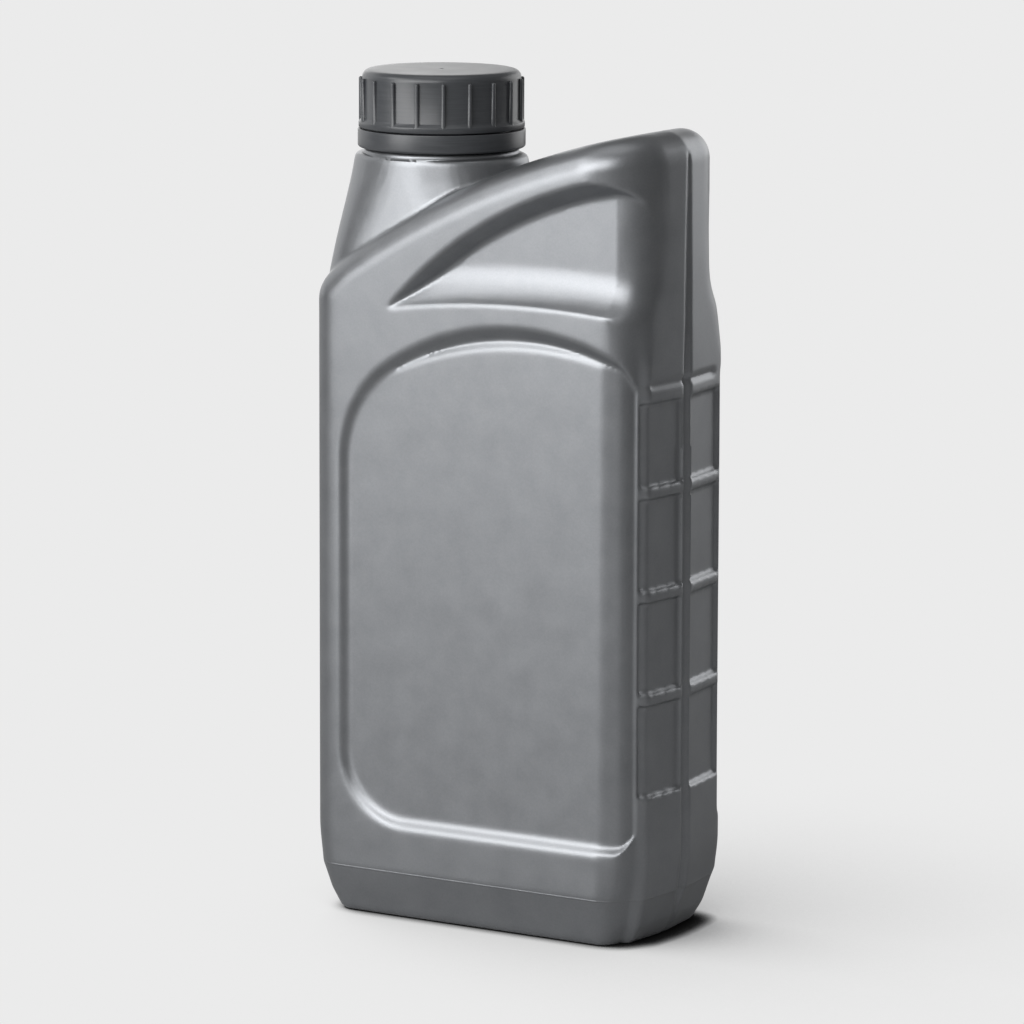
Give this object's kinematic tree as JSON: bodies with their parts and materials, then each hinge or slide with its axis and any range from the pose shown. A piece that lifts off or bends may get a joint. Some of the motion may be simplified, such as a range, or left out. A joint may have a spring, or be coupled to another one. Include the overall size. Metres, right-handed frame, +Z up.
{
  "type": "fluid bottle",
  "caption": "Slab-sided blow-moulded fluid bottle with an offset neck, raked shoulder, grip hollows, ribbed side, and a ribbed screw cap over a tamper ring.",
  "frame": {"origin": "centre of the base, on the surface that the bottle stands on", "axes": "+Z up along the bottle's height; X along the broad faces, with the neck towards -X and the ribbed side towards +X; -Y is the front broad face; the mould's parting plane is Y = 0"},
  "size_m": [0.1177, 0.057, 0.254],
  "materials": {
    "bottle_hdpe": "satin grey blow-moulded polyethylene",
    "cap_pp": "satin charcoal moulded polypropylene",
    "ring_pp": "satin charcoal moulded polypropylene",
    "liner_foam": "smooth white polyethylene foam"
  },
  "bodies": {
    "bottle": {"bottle": "bottle_hdpe"},
    "wad": {"cap_liner": "liner_foam"},
    "cap": {"cap": "cap_pp"},
    "ring": {"tamper_ring": "ring_pp"}
  },
  "joints": [
    {"name": "cap_turn", "type": "hinge", "parent": "wad", "child": "cap", "pos_m": [-0.027, 0, 0.245], "axis": [0, 0, 1], "range_deg": [0, 1350]},
    {"name": "cap_lift", "type": "slide", "parent": "bottle", "child": "wad", "axis": [0, 0, 1], "range_m": [0, 0.0152]},
    {"name": "ring_turn", "type": "hinge", "parent": "bottle", "child": "ring", "pos_m": [-0.027, 0, 0.234], "axis": [0, 0, 1], "continuous": true}
  ],
  "couplings": [
    {"joint": "cap_lift", "follows": "cap_turn", "m_per_rad": 0.00063662}
  ]
}
